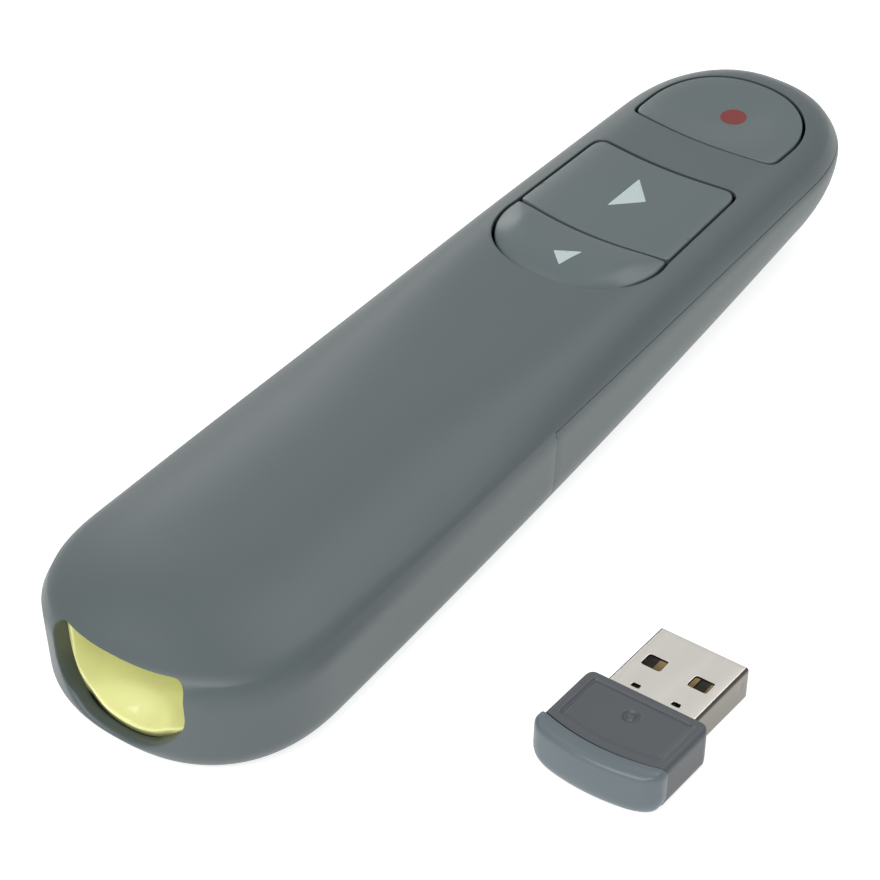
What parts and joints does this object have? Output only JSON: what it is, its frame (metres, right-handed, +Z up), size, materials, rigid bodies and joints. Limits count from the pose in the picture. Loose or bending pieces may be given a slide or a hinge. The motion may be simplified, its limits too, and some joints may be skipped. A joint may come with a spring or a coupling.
{
  "type": "wireless presentation clicker",
  "caption": "Hand-held wireless presentation clicker with press buttons, laser pointer, battery cover, open bay for its plug-in receiver, and the receiver beside it.",
  "frame": {"origin": "centre of the clicker's flat underside", "axes": "+Z up out of the buttons, +Y along the clicker towards its laser end, +X to the right; the receiver lies on the same plane at +X"},
  "size_m": [0.0735, 0.1413, 0.0183],
  "materials": {
    "casing": "satin grey",
    "button": "satin grey",
    "lime_liner": "glossy lime",
    "plunger": "moulded black",
    "switch_metal": "tinned",
    "board": "solder mask",
    "chip": "moulded",
    "knob": "moulded",
    "laser_brass": "turned",
    "lens": "polished",
    "laser_window": "clear",
    "tray": "moulded",
    "battery": "wrapped can",
    "spring": "plated",
    "screw": "zinc plated",
    "plug_steel": "plated",
    "tongue": "moulded",
    "contact": "gold plated",
    "receiver_plastic": "satin grey",
    "receiver_nose": "satin grey"
  },
  "bodies": {
    "clicker": {"top_shell": "casing", "bottom_shell": "casing", "receiver_bay_liner": "lime_liner", "laser_switch": "switch_metal", "next_switch": "switch_metal", "back_switch": "switch_metal", "main_board": "board", "radio_chip": "chip", "controller_chip": "chip", "crystal": "switch_metal", "power_switch": "switch_metal", "laser_barrel": "laser_brass", "laser_lens": "lens", "laser_diode": "switch_metal", "laser_window": "laser_window", "battery_tray": "tray", "left_battery": "battery", "right_battery": "battery", "battery_springs": "spring", "battery_contacts": "spring", "shell_screws": "screw", "board_screws": "screw"},
    "cover": {"battery_cover": "casing"},
    "laser_key": {"laser_button": "button"},
    "next_key": {"next_button": "button"},
    "back_key": {"back_button": "button"},
    "laser_stem": {"laser_plunger": "plunger"},
    "next_stem": {"next_plunger": "plunger"},
    "back_stem": {"back_plunger": "plunger"},
    "power_slider": {"power_knob": "knob"},
    "receiver": {"receiver_plug_shell": "plug_steel", "receiver_tongue": "tongue", "receiver_contacts": "contact", "receiver_board": "board", "receiver_chip": "chip", "receiver_housing": "receiver_plastic", "receiver_nose": "receiver_nose"}
  },
  "joints": [
    {"name": "laser_press", "type": "slide", "parent": "clicker", "child": "laser_key", "axis": [0, 0, -1], "range_m": [0, 0.0004], "stiffness_N_per_m": 300, "springref_m": -0.0003},
    {"name": "laser_switch_press", "type": "slide", "parent": "clicker", "child": "laser_stem", "axis": [0, 0, -1], "range_m": [0, 0.0004]},
    {"name": "next_press", "type": "slide", "parent": "clicker", "child": "next_key", "axis": [0, 0, -1], "range_m": [0, 0.0004], "stiffness_N_per_m": 300, "springref_m": -0.0003},
    {"name": "next_switch_press", "type": "slide", "parent": "clicker", "child": "next_stem", "axis": [0, 0, -1], "range_m": [0, 0.0004]},
    {"name": "back_press", "type": "slide", "parent": "clicker", "child": "back_key", "axis": [0, 0, -1], "range_m": [0, 0.0004], "stiffness_N_per_m": 300, "springref_m": -0.0003},
    {"name": "back_switch_press", "type": "slide", "parent": "clicker", "child": "back_stem", "axis": [0, 0, -1], "range_m": [0, 0.0004]},
    {"name": "power_switch_slide", "type": "slide", "parent": "clicker", "child": "power_slider", "axis": [0, 1, 0], "range_m": [0, 0.0024]},
    {"name": "battery_cover_slide", "type": "slide", "parent": "clicker", "child": "cover", "axis": [0, -1, 0], "range_m": [0, 0.06]},
    {"name": "receiver_slide", "type": "slide", "parent": "clicker", "child": "receiver", "axis": [-0.0096, 1, 0], "range_m": [0, 0.02]}
  ],
  "couplings": [
    {"joint": "laser_switch_press", "follows": "laser_press", "ratio": 1},
    {"joint": "next_switch_press", "follows": "next_press", "ratio": 1},
    {"joint": "back_switch_press", "follows": "back_press", "ratio": 1}
  ]
}
